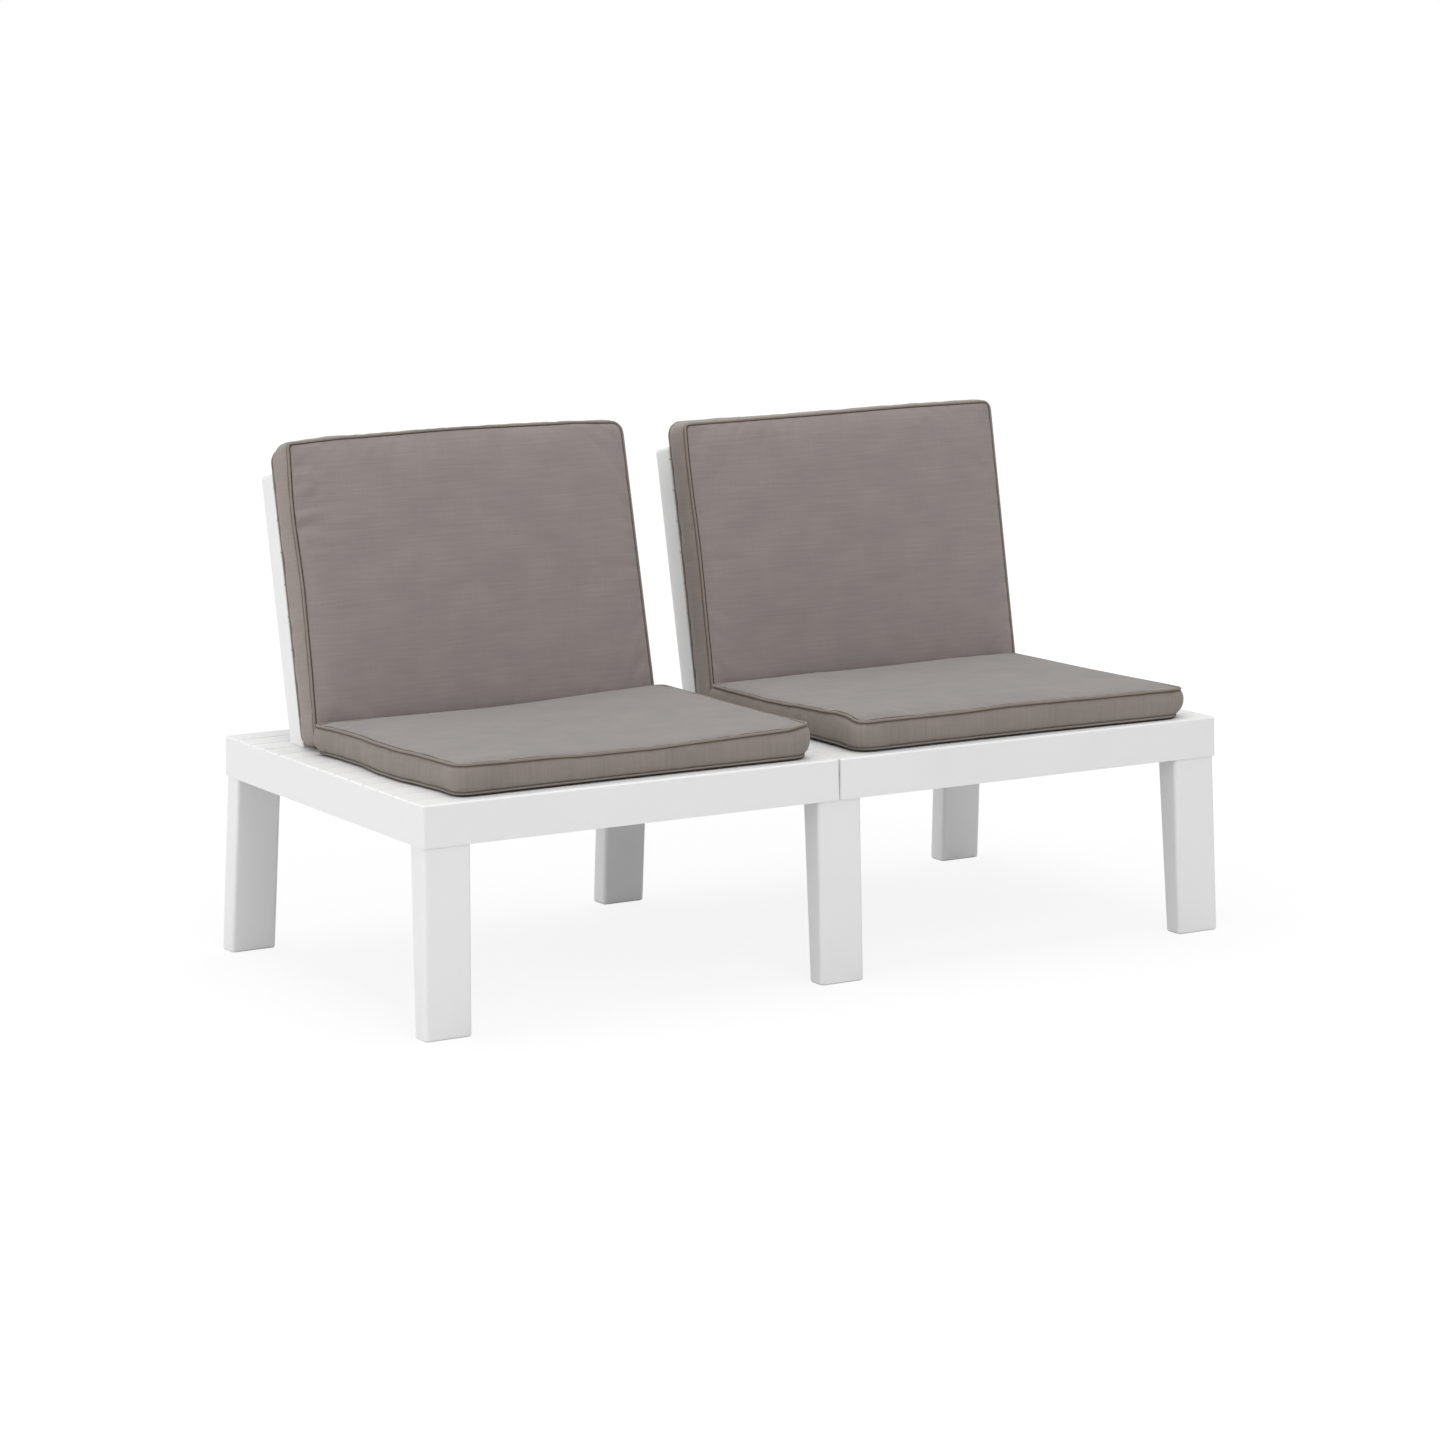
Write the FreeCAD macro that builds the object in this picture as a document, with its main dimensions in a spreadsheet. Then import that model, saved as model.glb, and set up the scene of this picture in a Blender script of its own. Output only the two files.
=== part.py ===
import FreeCAD, Part
import Sketcher
import math
import os

# Two-seat modular garden bench: two square moulded decks side by side on six plug-in legs,
# a plug-in leaning backrest on each deck, and a boxed seat cushion and back cushion per seat.
# Origin: centre of the whole bench on the floor. +X runs along the bench, -Y is the front.

SIZES = [
    # deck modules
    ("module_width", 590.0),
    ("module_gap", 0.6),
    ("deck_depth", 594.0),
    ("deck_height", 291.0),
    ("apron_height", 53.0),
    ("apron_draft", 0.9),
    ("apron_wall", 3.5),
    ("deck_skin", 4.5),
    ("corner_round", 4.0),
    ("top_bevel", 2.0),
    ("groove_width", 3.2),
    ("groove_floor", 1.8),
    ("groove_depth", 2.2),
    ("rib_wall", 3.0),
    ("rib_depth", 22.0),
    # legs
    ("leg_width", 64.0),
    ("leg_inset", 2.0),
    ("leg_wall", 3.2),
    ("leg_round", 5.5),
    ("foot_bevel", 2.0),
    ("foot_floor", 4.0),
    ("side_splay", 5.8),
    ("front_leg_head", 40.0),
    ("front_leg_foot", 31.0),
    ("front_splay", 5.6),
    ("rear_leg_head", 34.0),
    ("rear_leg_foot", 33.0),
    ("rear_rake", 20.0),
    ("leg_shoulder", 4.0),
    ("tenon_headroom", 8.0),
    ("plug_fit", 0.4),
    ("seat_gap", 0.3),
    # backrests
    ("lean", 11.7),
    ("panel_width", 490.0),
    ("panel_height", 358.0),
    ("panel_thickness", 38.0),
    ("panel_skin", 3.6),
    ("panel_rim", 5.0),
    ("panel_foot_rail", 13.0),
    ("panel_bevel", 2.0),
    ("panel_corner", 6.0),
    ("tongue_width", 70.0),
    ("tongue_thickness", 18.0),
    ("tongue_length", 44.0),
    ("tongue_spacing", 260.0),
    ("tongue_lead", 2.5),
    ("sleeve_depth", 34.0),
    # cushions: lengths, depths and thicknesses run between the centres of the piping
    ("cushion_gap", 0.3),
    ("cushion_corner", 18.0),
    ("cushion_draw_in", 3.5),
    ("cushion_crown", 9.0),
    ("cover_wall", 2.5),
    ("foam_gap", 0.3),
    ("piping_size", 4.6),
    ("seat_length", 500.0),
    ("seat_depth", 376.5),
    ("seat_thickness", 35.0),
    ("left_seat_shift", 8.0),
    ("right_seat_shift", -6.0),
    ("seat_set_back", 20.0),
    ("back_length", 493.0),
    ("back_height", 393.0),
    ("back_thickness", 47.0),
    ("back_shift", 3.5),
]
PLANKS = 14
DECK_RIBS_ACROSS = 5
DECK_RIBS_ALONG = 6
PANEL_CELLS_ACROSS = 5
PANEL_CELLS_UP = 4
CROWN_STEPS = 2

# Shares: how much of a cushion's corner radius its crown uses up on the way in, and how far a cut
# runs on past the piece it crosses.
CROWN_REACH = 0.9
OVERRUN = 1.1

# The feet of the front and rear legs reach equally far from the origin.
FRONT_EDGE = "-(deck_depth + rear_rake - front_splay) / 2"

# The deck's plank pitch is the backrest's too.
PLANK_PITCH = "deck_depth / %d" % PLANKS

# Lines across the deck's top, as distances back from its front edge: where the front and rear of
# the leaning back cushion and the front of the backrest meet the deck.
CUSHION_FRONT = "seat_set_back + seat_depth + piping_size + cushion_gap"
CUSHION_REAR = CUSHION_FRONT + " + (back_thickness + piping_size) / cos(lean)"
PANEL_FRONT = CUSHION_REAR + " + cushion_gap / cos(lean)"

# How far a leg's socket reaches in from the deck's edges.
SOCKET_X = {"outer": "leg_inset + leg_width - leg_shoulder",
            "inner": "leg_width / 2 - leg_shoulder - module_gap / 2"}
SOCKET_Y = {"front": "leg_inset + front_leg_head - leg_shoulder",
            "rear": "leg_inset + rear_leg_head - leg_shoulder"}
SOCKET_DEPTH = "apron_height - deck_skin"
LEG_HEIGHT = "deck_height - apron_height - seat_gap"

doc = FreeCAD.newDocument("garden_bench")
sheet = doc.addObject("Spreadsheet::Sheet", "sizes")
for row, (alias, value) in enumerate(SIZES, start=1):
    sheet.set("A%d" % row, alias)
    sheet.set("B%d" % row, str(value))
    sheet.setAlias("B%d" % row, alias)
doc.recompute()
ALIASES = {alias for alias, value in SIZES}
parts = []
volumes = {}


def bound(text):
    """The expression with each size's name turned into its cell in the sheet."""
    out = ""
    word = ""
    for letter in text + " ":
        if letter.isalnum() or letter == "_":
            word += letter
        else:
            out += "sizes." + word if word in ALIASES else word
            out += letter
            word = ""
    return out.strip()


def value_of(text):
    """The number that an expression of sizes comes to."""
    result = sheet.evalExpression(text)
    return float(getattr(result, "Value", result))


def negative(text):
    return "-(%s)" % text


def new_body(label):
    body = doc.addObject("PartDesign::Body", label)
    body.Label = label
    parts.append(body)
    return body


def mirror(body, label):
    """The right-hand twin of a left-hand piece, mirrored across the middle of the bench."""
    doc.recompute()
    twin = doc.addObject("Part::Mirroring", label)
    twin.Label = label
    twin.Source = body
    twin.Base = FreeCAD.Vector(0, 0, 0)
    twin.Normal = FreeCAD.Vector(1, 0, 0)
    parts.append(twin)


def origin_feature(body, role):
    return [f for f in body.Origin.OriginFeatures if f.Role == role][0]


def sketch_on(body, name, role, shift=("0", "0", "0"), turn="0"):
    """A sketch on one of the body's own origin planes, shifted and turned within it."""
    sketch = body.newObject("Sketcher::SketchObject", name)
    sketch.AttachmentSupport = [(origin_feature(body, role), "")]
    sketch.MapMode = "FlatFace"
    base = FreeCAD.Vector(*[value_of(s) for s in shift])
    rotation = FreeCAD.Rotation(FreeCAD.Vector(0, 0, 1), value_of(turn))
    sketch.AttachmentOffset = FreeCAD.Placement(base, rotation)
    for path, text in zip(("Base.x", "Base.y", "Base.z", "Rotation.Angle"), (*shift, turn)):
        if text != "0":
            sketch.setExpression("AttachmentOffset." + path, bound(text))
    return sketch


def limit(sketch, kind, geometry, name, text, number):
    """Bind one distance from the sketch's origin, or one radius, to an expression of sizes."""
    if kind == "Radius":
        constraint = Sketcher.Constraint(kind, geometry, number)
    else:
        constraint = Sketcher.Constraint(kind, -1, 1, geometry, 1, number)
    index = sketch.addConstraint(constraint)
    sketch.renameConstraint(index, name)
    sketch.setExpression("Constraints." + name, bound(text))


def outline(sketch, points):
    """A closed outline whose corners follow the given pairs of expressions."""
    first = sketch.GeometryCount
    numbers = [FreeCAD.Vector(value_of(x), value_of(y), 0) for x, y in points]
    count = len(points)
    for i in range(count):
        sketch.addGeometry(Part.LineSegment(numbers[i], numbers[(i + 1) % count]), False)
    for i in range(count):
        following = first + (i + 1) % count
        sketch.addConstraint(Sketcher.Constraint("Coincident", first + i, 2, following, 1))
    for i, (x, y) in enumerate(points):
        limit(sketch, "DistanceX", first + i, "x%d" % (first + i), x, numbers[i].x)
        limit(sketch, "DistanceY", first + i, "y%d" % (first + i), y, numbers[i].y)


def rectangle(sketch, left, right, low, high):
    outline(sketch, [(left, low), (right, low), (right, high), (left, high)])


def rounded(sketch, left, right, low, high, radius):
    """A rectangle between the given edges with its corners rounded by tangent arcs."""
    x0, x1, y0, y1, r = [value_of(text) for text in (left, right, low, high, radius)]
    corners = [(x1 - r, y0 + r, -90), (x1 - r, y1 - r, 0), (x0 + r, y1 - r, 90), (x0 + r, y0 + r, 180)]
    arcs = []
    for x, y, start in corners:
        circle = Part.Circle(FreeCAD.Vector(x, y, 0), FreeCAD.Vector(0, 0, 1), r)
        arcs.append(Part.ArcOfCircle(circle, math.radians(start), math.radians(start + 90)))
    for i, arc in enumerate(arcs):
        sketch.addGeometry(Part.LineSegment(arcs[i - 1].EndPoint, arc.StartPoint), False)
        sketch.addGeometry(arc, False)
    for i in range(4):
        line, bend, following = 2 * i, 2 * i + 1, (2 * i + 2) % 8
        sketch.addConstraint(Sketcher.Constraint("Tangent", line, 2, bend, 1))
        sketch.addConstraint(Sketcher.Constraint("Tangent", bend, 2, following, 1))
        sketch.addConstraint(Sketcher.Constraint("Horizontal" if i % 2 == 0 else "Vertical", line))
        if i:
            sketch.addConstraint(Sketcher.Constraint("Equal", 1, bend))
    limit(sketch, "DistanceY", 0, "low", low, y0)
    limit(sketch, "DistanceX", 2, "right", right, x1)
    limit(sketch, "DistanceY", 4, "high", high, y1)
    limit(sketch, "DistanceX", 6, "left", left, x0)
    limit(sketch, "Radius", 1, "bend", radius, r)


def settle(body, removes=False):
    """Recompute. The body's volume has to fall after a cut and to rise after anything else."""
    doc.recompute()
    before = volumes.get(body.Label, 0.0)
    after = body.Shape.Volume
    if (after >= before) if removes else (after <= before):
        raise RuntimeError("%s: %s changed nothing" % (body.Label, body.Tip.Label))
    volumes[body.Label] = after


def extrude(body, kind, name, sketch, length, both=False, reverse=False):
    """A pad or a pocket of one sketch."""
    feature = body.newObject("PartDesign::" + kind, name)
    feature.Profile = (sketch, [""])
    feature.SideType = "Symmetric" if both else "One side"
    feature.Reversed = reverse
    feature.Length = value_of(length)
    feature.setExpression("Length", bound(length))
    settle(body, kind == "Pocket")
    return feature


def repeat(body, name, feature, *rows):
    """Copies of a feature in one row, or in a grid of two, each row an axis, a length and a count."""
    pattern = body.newObject("PartDesign::LinearPattern", name)
    pattern.Originals = [feature]
    for suffix, (axis, length, count) in zip(("", "2"), rows):
        setattr(pattern, "Direction" + suffix, (origin_feature(body, axis), [""]))
        setattr(pattern, "Length" + suffix, value_of(length))
        setattr(pattern, "Occurrences" + suffix, count)
        pattern.setExpression("Length" + suffix, bound(length))
    body.Tip = pattern
    settle(body, feature.TypeId == "PartDesign::Pocket")


def loft(body, kind, name, plans):
    """A ruled loft through sketches, added to the body or taken out of it."""
    feature = body.newObject("PartDesign::" + kind, name)
    feature.Profile = (plans[0], [""])
    feature.Sections = [(plan, [""]) for plan in plans[1:]]
    feature.Ruled = True
    settle(body, kind == "SubtractiveLoft")


def dress(body, kind, name, size, wanted):
    """A fillet or a chamfer on every edge of the body that the test picks."""
    base = body.Tip
    edges = ["Edge%d" % (i + 1) for i, edge in enumerate(body.Shape.Edges) if wanted(edge)]
    feature = body.newObject("PartDesign::" + kind, name)
    feature.Base = (base, edges)
    measure = "Radius" if kind == "Fillet" else "Size"
    setattr(feature, measure, value_of(size))
    feature.setExpression(measure, bound(size))
    body.Tip = feature
    settle(body, True)


def ends(edge):
    return edge.Vertexes[0].Point, edge.Vertexes[-1].Point


def deck_blank(body):
    """The top and its apron: a drafted block with round corners and a bevelled rim, hollow below."""
    draft = "apron_height * tan(apron_draft)"
    plans = []
    for step, level, inset, bend in (
            ("skirt", "0", "0", "corner_round"),
            ("brow", "apron_height - top_bevel", draft, "corner_round"),
            ("top", "apron_height", draft + " + top_bevel", "corner_round - top_bevel")):
        plan = sketch_on(body, "deck_" + step, "XY_Plane", ("0", "0", level))
        reach = "module_width / 2 - (%s)" % inset
        rounded(plan, negative(reach), reach, inset, "deck_depth - (%s)" % inset, bend)
        plans.append(plan)
    loft(body, "AdditiveLoft", "deck_block", plans)

    inside = sketch_on(body, "deck_inside", "XY_Plane")
    rectangle(inside, "-module_width / 2 + apron_wall", "module_width / 2 - apron_wall",
              "apron_wall", "deck_depth - apron_wall")
    extrude(body, "Pocket", "deck_hollow", inside, SOCKET_DEPTH, reverse=True)


def deck_ribs(body):
    """A crossing grid of ribs under the planks, let into the apron and the skin by half a wall."""
    level = "apron_height - deck_skin - rib_depth"
    half_wall = "rib_wall / 2"
    pitch = "(module_width - 2 * apron_wall) / %d" % (DECK_RIBS_ACROSS + 1)
    rib = sketch_on(body, "rib_across", "XY_Plane", ("-module_width / 2 + apron_wall + " + pitch, "0", level))
    rectangle(rib, negative(half_wall), half_wall, "apron_wall / 2", "deck_depth - apron_wall / 2")
    pad = extrude(body, "Pad", "rib_across_pad", rib, "rib_depth + deck_skin / 4")
    repeat(body, "ribs_across", pad, ("X_Axis", "%s * %d" % (pitch, DECK_RIBS_ACROSS - 1), DECK_RIBS_ACROSS))

    pitch = "(deck_depth - 2 * apron_wall) / %d" % (DECK_RIBS_ALONG + 1)
    rib = sketch_on(body, "rib_along", "XY_Plane", ("0", "apron_wall + " + pitch, level))
    rectangle(rib, "-(module_width - apron_wall) / 2", "(module_width - apron_wall) / 2",
              negative(half_wall), half_wall)
    pad = extrude(body, "Pad", "rib_along_pad", rib, "rib_depth + deck_skin / 4")
    repeat(body, "ribs_along", pad, ("Y_Axis", "%s * %d" % (pitch, DECK_RIBS_ALONG - 1), DECK_RIBS_ALONG))


def deck_sockets(body):
    """Four walled sockets in the corners that take the legs' tenons."""
    walls = sketch_on(body, "socket_walls", "XY_Plane")
    holes = sketch_on(body, "socket_holes", "XY_Plane")
    for sketch, start, grow in ((walls, "apron_wall / 2", "plug_fit + rib_wall"),
                                (holes, "apron_wall", "plug_fit")):
        for side, reach_x in SOCKET_X.items():
            near, far = "module_width / 2 - " + start, "module_width / 2 - (%s + %s)" % (reach_x, grow)
            left, right = (negative(near), negative(far)) if side == "outer" else (far, near)
            for row, reach_y in SOCKET_Y.items():
                low, high = start, "%s + %s" % (reach_y, grow)
                if row == "rear":
                    low, high = "deck_depth - (%s)" % high, "deck_depth - " + low
                rectangle(sketch, left, right, low, high)
    extrude(body, "Pad", "sockets", walls, SOCKET_DEPTH + " + deck_skin / 4")
    extrude(body, "Pocket", "socket_bores", holes, SOCKET_DEPTH, reverse=True)


def deck_sleeves(body):
    """Two leaning sleeves, open through the top, that take the backrest's tongues."""
    margin = "(panel_thickness - tongue_thickness) / 2"
    foot_line = (PANEL_FRONT, "apron_height", "-tongue_spacing / 2")
    for step, kind, grow, low, level in (
            ("sleeve", "Pad", "plug_fit + rib_wall", "-sleeve_depth", "-deck_skin / 2"),
            ("slot", "Pocket", "plug_fit", "-apron_height", "deck_skin")):
        sketch = sketch_on(body, step, "YZ_Plane", foot_line, "-lean")
        near = "%s - (%s)" % (margin, grow)
        far = "%s + tongue_thickness + %s" % (margin, grow)
        top = "(%s) * tan(lean) + (%s) / cos(lean)"
        outline(sketch, [(near, low), (far, low), (far, top % (far, level)), (near, top % (near, level))])
        feature = extrude(body, kind, step + "_first", sketch, "tongue_width + 2 * (%s)" % grow, both=True)
        repeat(body, step + "_pair", feature, ("X_Axis", "tongue_spacing", 2))


def deck_planks(body):
    """The grooves that part the top into planks, open at both ends."""
    groove = sketch_on(body, "deck_groove", "YZ_Plane", (PLANK_PITCH, "apron_height", "0"))
    outline(groove, [("-groove_width / 2", "groove_depth"), ("-groove_width / 2", "0"),
                     ("-groove_floor / 2", "-groove_depth"), ("groove_floor / 2", "-groove_depth"),
                     ("groove_width / 2", "0"), ("groove_width / 2", "groove_depth")])
    cut = extrude(body, "Pocket", "deck_groove_cut", groove, "module_width * %g" % OVERRUN, both=True)
    repeat(body, "deck_planks", cut, ("Y_Axis", "%s * %d" % (PLANK_PITCH, PLANKS - 2), PLANKS - 1))


def deck():
    """A square deck moulding."""
    body = new_body("deck_left")
    deck_blank(body)
    deck_ribs(body)
    deck_sockets(body)
    deck_sleeves(body)
    deck_planks(body)
    body.Placement.Base = FreeCAD.Vector(value_of("-(module_width + module_gap) / 2"),
                                         value_of(FRONT_EDGE),
                                         value_of("deck_height - apron_height"))
    mirror(body, "deck_right")


def leg(row, column):
    """A tapered, hollow leg that plugs into the sockets above it with one tenon, or two at the middle."""
    body = new_body("leg_%s_%s" % (row, column))
    if row == "front":
        head_y = ("leg_inset", "leg_inset + front_leg_head")
        foot_y = ("leg_inset - front_splay", "leg_inset - front_splay + front_leg_foot")
        tenon_y = ("apron_wall + plug_fit", SOCKET_Y[row])
        y = FRONT_EDGE
    else:
        head_y = ("-leg_inset - rear_leg_head", "-leg_inset")
        foot_y = ("-leg_inset + rear_rake - rear_leg_foot", "-leg_inset + rear_rake")
        tenon_y = (negative(SOCKET_Y[row]), "-apron_wall - plug_fit")
        y = FRONT_EDGE + " + deck_depth"
    if column == "centre":
        head_x = foot_x = ("-leg_width / 2", "leg_width / 2")
        tenon = ("module_gap / 2 + apron_wall + plug_fit", "leg_width / 2 - leg_shoulder")
        half = ("-leg_wall / 2", "leg_width / 2")
        pockets = [(tenon, half), (mirrored(tenon), mirrored(half))]
        x = "0"
    else:
        head_x = ("leg_inset", "leg_inset + leg_width")
        foot_x = ("leg_inset - side_splay", "leg_inset - side_splay + leg_width")
        tenon = ("apron_wall + plug_fit", SOCKET_X["outer"])
        pockets = [(tenon, foot_x)]
        x = "-module_width - module_gap / 2"

    sole = [edge + " + foot_bevel" for edge in (foot_x[0], foot_y[0])]
    sole += [edge + " - foot_bevel" for edge in (foot_x[1], foot_y[1])]
    plans = []
    for step, level, box, bend in (
            ("sole", "0", (sole[0], sole[2], sole[1], sole[3]), "leg_round - foot_bevel"),
            ("foot", "foot_bevel", foot_x + foot_y, "leg_round"),
            ("head", LEG_HEIGHT, head_x + head_y, "leg_round")):
        plan = sketch_on(body, "%s_%s" % (body.Label, step), "XY_Plane", ("0", "0", level))
        rounded(plan, *box, bend)
        plans.append(plan)
    loft(body, "AdditiveLoft", body.Label + "_shank", plans)

    tenons = sketch_on(body, body.Label + "_tenon", "XY_Plane", ("0", "0", LEG_HEIGHT))
    for tenon_x, foot_part in pockets:
        rectangle(tenons, *tenon_x, *tenon_y)
    extrude(body, "Pad", body.Label + "_tenons", tenons, SOCKET_DEPTH + " - tenon_headroom")
    for number, (tenon_x, foot_part) in enumerate(pockets):
        hollow_leg(body, number, tenon_x + tenon_y, foot_part + foot_y)
    body.Placement.Base = FreeCAD.Vector(value_of(x), value_of(y), 0)
    if column == "left":
        mirror(body, "leg_%s_right" % row)


def mirrored(pair):
    return (negative(pair[1]), negative(pair[0]))


def hollow_leg(body, number, tenon, foot):
    """The slanting core of one section that leaves a leg hollow and open at the top of its tenon."""
    widest = []
    for low, high in ((0, 1), (2, 3)):
        across_tenon = "%s - (%s)" % (tenon[high], tenon[low])
        across_foot = "%s - (%s)" % (foot[high], foot[low])
        widest.append("(min(%s; %s) / 2 - leg_wall)" % (across_tenon, across_foot))
    mouth = "%s + %s - tenon_headroom" % (LEG_HEIGHT, SOCKET_DEPTH)
    plans = []
    for step, (level, box) in enumerate(((mouth, tenon), (LEG_HEIGHT, tenon), ("foot_floor", foot))):
        name = "%s_core_%d_%d" % (body.Label, number, step)
        plan = sketch_on(body, name, "XY_Plane", ("0", "0", level))
        x, y = ["(%s + %s) / 2" % pair for pair in (box[:2], box[2:])]
        rectangle(plan, "%s - %s" % (x, widest[0]), "%s + %s" % (x, widest[0]),
                  "%s - %s" % (y, widest[1]), "%s + %s" % (y, widest[1]))
        plans.append(plan)
    loft(body, "SubtractiveLoft", "%s_core_%d" % (body.Label, number), plans)


def backrest():
    """A leaning panel with planks in front, a grid of ribs behind and two tongues below."""
    body = new_body("backrest_left")
    side = sketch_on(body, "panel_side", "YZ_Plane")
    foot = "seat_gap / cos(lean)"
    outline(side, [("0", foot), ("panel_thickness", foot + " + panel_thickness * tan(lean)"),
                   ("panel_thickness", "panel_height"), ("0", "panel_height")])
    extrude(body, "Pad", "panel", side, "panel_width", both=True)
    round_panel(body)

    count = int(value_of("(panel_height - groove_width) / (%s)" % PLANK_PITCH))
    groove = sketch_on(body, "panel_groove", "YZ_Plane", ("0", PLANK_PITCH, "0"))
    outline(groove, [("-groove_depth", "-groove_width / 2"), ("0", "-groove_width / 2"),
                     ("groove_depth", "-groove_floor / 2"), ("groove_depth", "groove_floor / 2"),
                     ("0", "groove_width / 2"), ("-groove_depth", "groove_width / 2")])
    cut = extrude(body, "Pocket", "panel_groove_cut", groove, "panel_width * %g" % OVERRUN, both=True)
    repeat(body, "panel_planks", cut, ("Z_Axis", "%s * %d" % (PLANK_PITCH, count - 1), count))

    across = "(panel_width - 2 * panel_rim + rib_wall) / %d" % PANEL_CELLS_ACROSS
    upward = "(panel_height - panel_foot_rail - panel_rim + rib_wall) / %d" % PANEL_CELLS_UP
    cell = sketch_on(body, "panel_cell", "XZ_Plane",
                     ("-panel_width / 2 + panel_rim", "panel_foot_rail", "-panel_thickness"))
    rectangle(cell, "0", across + " - rib_wall", "0", upward + " - rib_wall")
    pocket = extrude(body, "Pocket", "panel_cell_cut", cell, "panel_thickness - panel_skin", reverse=True)
    repeat(body, "panel_cells", pocket,
           ("X_Axis", "%s * %d" % (across, PANEL_CELLS_ACROSS - 1), PANEL_CELLS_ACROSS),
           ("Z_Axis", "%s * %d" % (upward, PANEL_CELLS_UP - 1), PANEL_CELLS_UP))

    root = "panel_foot_rail - rib_wall / 2"
    tongue = sketch_on(body, "tongue", "YZ_Plane",
                       ("(panel_thickness - tongue_thickness) / 2", "0", "-tongue_spacing / 2"))
    outline(tongue, [("0", root), ("0", "-tongue_length + tongue_lead"), ("tongue_lead", "-tongue_length"),
                     ("tongue_thickness - tongue_lead", "-tongue_length"),
                     ("tongue_thickness", "-tongue_length + tongue_lead"), ("tongue_thickness", root)])
    pad = extrude(body, "Pad", "tongue_pad", tongue, "tongue_width", both=True)
    repeat(body, "tongue_pair", pad, ("X_Axis", "tongue_spacing", 2))
    base = FreeCAD.Vector(value_of("-(module_width + module_gap) / 2"),
                          value_of("%s + %s" % (FRONT_EDGE, PANEL_FRONT)), value_of("deck_height"))
    lean_back = FreeCAD.Rotation(FreeCAD.Vector(1, 0, 0), -value_of("lean"))
    body.Placement = FreeCAD.Placement(base, lean_back)
    mirror(body, "backrest_right")


def round_panel(body):
    """Round the panel's two top corners and bevel the front and rear edges of its sides and top."""
    top = value_of("panel_height")
    thickness = value_of("panel_thickness")

    def crosses_top(edge):
        a, b = ends(edge)
        return min(a.z, b.z) > top / 2 and abs(a.y - b.y) > thickness / 2

    def outer_edge(edge):
        a, b = ends(edge)
        return abs(a.y - b.y) < thickness / 2 and max(a.z, b.z) > top / 2

    dress(body, "Fillet", "panel_corners", "panel_corner", crosses_top)
    dress(body, "Chamfer", "panel_edges", "panel_bevel", outer_edge)


def ring(length, width, inset, level):
    """A rounded rectangle with sides drawn in between its corners, as eight tangent arcs.

    A ring with an inset runs parallel to the one without, on the same centres.
    """
    corner = value_of("cushion_corner")
    draw_in = value_of("cushion_draw_in")
    centre_x = length / 2 - corner
    centre_y = width / 2 - corner
    bend = corner - inset
    side = (centre_y ** 2 + draw_in ** 2) / (2 * draw_in)
    end = (centre_x ** 2 + draw_in ** 2) / (2 * draw_in)
    touch_x = (centre_x + bend * (side - draw_in) / side, centre_y - bend * centre_y / side)
    touch_y = (centre_x - bend * centre_x / end, centre_y + bend * (end - draw_in) / end)
    outermost = (centre_x + bend * math.sqrt(0.5), centre_y + bend * math.sqrt(0.5))

    def at(x, y):
        return FreeCAD.Vector(x, y, level)

    edges = []
    quadrants = [(1, 1), (-1, 1), (-1, -1), (1, -1)]
    for i, (sx, sy) in enumerate(quadrants):
        first, last = (touch_x, touch_y) if i % 2 == 0 else (touch_y, touch_x)
        edges.append(Part.Arc(at(sx * first[0], sy * first[1]), at(sx * outermost[0], sy * outermost[1]),
                              at(sx * last[0], sy * last[1])).toShape())
        nx, ny = quadrants[(i + 1) % 4]
        if i % 2 == 0:
            middle = at(0, sy * (width / 2 - draw_in - inset))
            far = at(nx * touch_y[0], ny * touch_y[1])
        else:
            middle = at(sx * (length / 2 - draw_in - inset), 0)
            far = at(nx * touch_x[0], ny * touch_x[1])
        edges.append(Part.Arc(at(sx * last[0], sy * last[1]), middle, far).toShape())
    return Part.Wire(edges)


def cushion_form(length, width, thickness):
    """A boxed cushion, its long edges bevelled to seat the piping and its upper face crowned."""
    bevel = value_of("piping_size + cushion_gap * sqrt(2)")
    crown = value_of("cushion_crown")
    rings = [ring(length, width, bevel, 0), ring(length, width, 0, bevel),
             ring(length, width, 0, thickness - bevel), ring(length, width, bevel, thickness)]
    for i in range(1, CROWN_STEPS + 1):
        share = i / CROWN_STEPS
        inset = bevel + share * (value_of("cushion_corner") * CROWN_REACH - bevel)
        rings.append(ring(length, width, inset, thickness + crown * math.sin(share * math.pi / 2)))
    return Part.makeLoft(rings, True, True)


def slab(length, width, wall, thickness):
    """A straight-sided block with round corners that leaves a cushion at least the given wall."""
    draw_in = value_of("cushion_draw_in")
    along = length - 2 * (draw_in + wall)
    across = width - 2 * (draw_in + wall)
    block = Part.makeBox(along, across, thickness - 2 * wall, FreeCAD.Vector(-along / 2, -across / 2, wall))
    upright = [edge for edge in block.Edges if edge.BoundBox.ZLength > wall]
    return block.makeFillet(value_of("cushion_corner") - draw_in - wall, upright)


def piping(length, width, level):
    """A line of square piping round an edge of a cushion."""
    half = value_of("piping_size / 2")
    outer, inner = [Part.Face(ring(length, width, inset, level - half)) for inset in (-half, half)]
    return outer.cut(inner).extrude(FreeCAD.Vector(0, 0, 2 * half))


def add_feature(label, shape, placement):
    feature = doc.addObject("Part::Feature", label)
    feature.Label = label
    feature.Shape = shape
    feature.Placement = placement
    parts.append(feature)


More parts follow.
